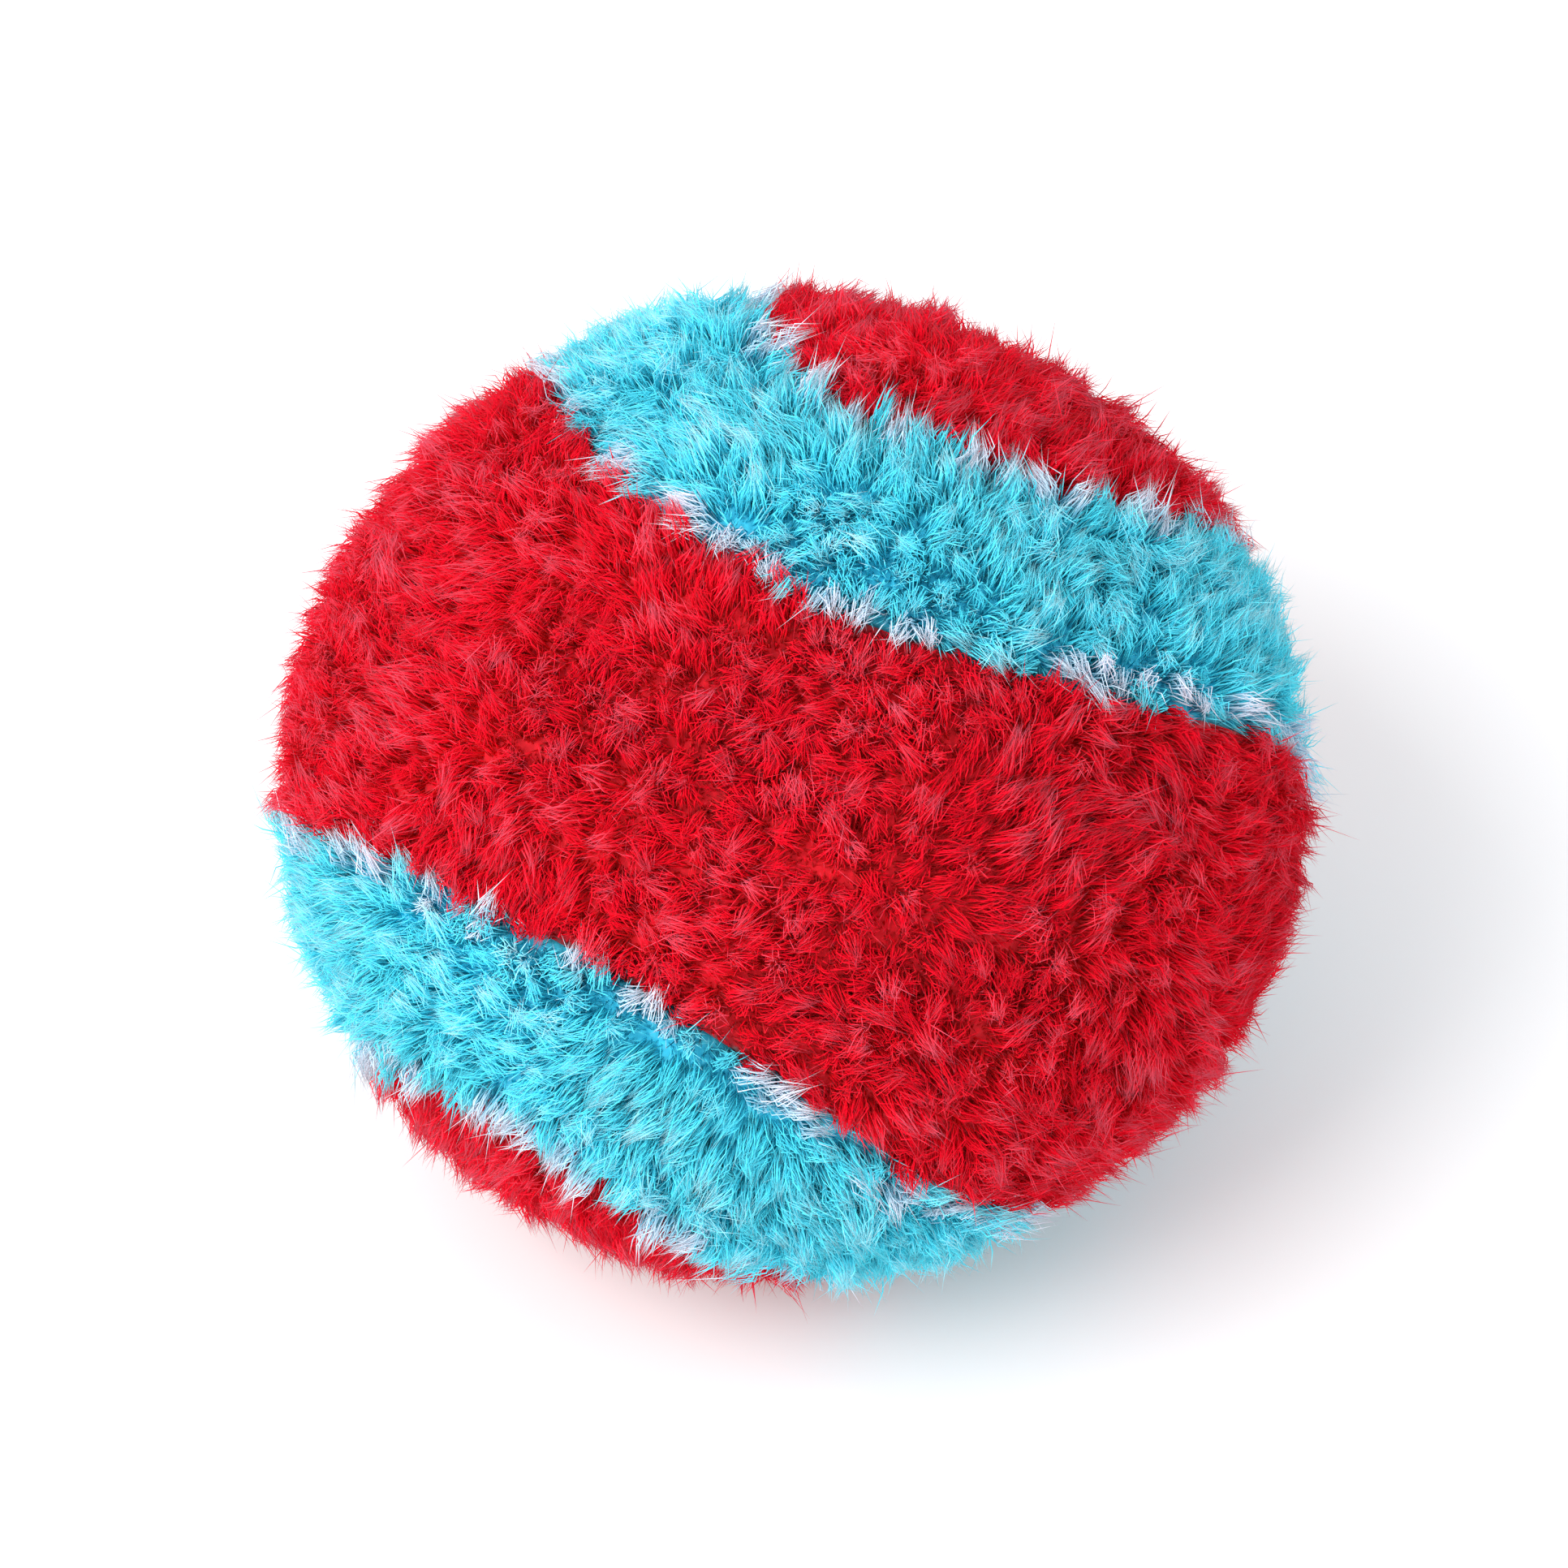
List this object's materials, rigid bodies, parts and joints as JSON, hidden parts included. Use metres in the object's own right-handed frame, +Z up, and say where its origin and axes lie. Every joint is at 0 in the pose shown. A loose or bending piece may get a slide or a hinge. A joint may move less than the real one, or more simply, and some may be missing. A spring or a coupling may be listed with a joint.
{
  "type": "juggling ball",
  "caption": "Soft juggling ball: two red dog-bone pile-fabric panels joined by a winding light blue band, stuffed with wadding round a bag of pellets",
  "frame": {"origin": "middle of the flat patch that the ball rests on, at the bottom centre of its box", "axes": "+Z up, which is also the ball's shortest direction; the front panel faces -Y and up"},
  "size_m": [0.065, 0.065, 0.056],
  "materials": {
    "red_pile_fabric": "soft cut pile, deep red with lighter tips",
    "blue_pile_fabric": "soft cut pile, light blue",
    "sewing_thread": "spun polyester thread, dark red",
    "hand_thread": "doubled polyester hand-sewing thread",
    "polyester_wadding": "loose white fibre",
    "bag_cotton": "plain weave, unbleached",
    "bag_thread": "spun cotton-wrapped thread",
    "plastic_pellets": "moulded, slightly translucent"
  },
  "bodies": {
    "root": {"cover_panel_front": "red_pile_fabric", "cover_panel_back": "red_pile_fabric", "cover_band": "blue_pile_fabric", "front_seam_thread": "sewing_thread", "back_seam_thread": "sewing_thread", "band_join_thread": "sewing_thread", "closing_ladder_thread": "hand_thread", "closing_knot": "hand_thread", "wadding": "polyester_wadding", "bag_top": "bag_cotton", "bag_bottom": "bag_cotton", "bag_seam_thread": "bag_thread", "bag_closing_thread": "bag_thread", "pellets": "plastic_pellets"}
  },
  "joints": []
}
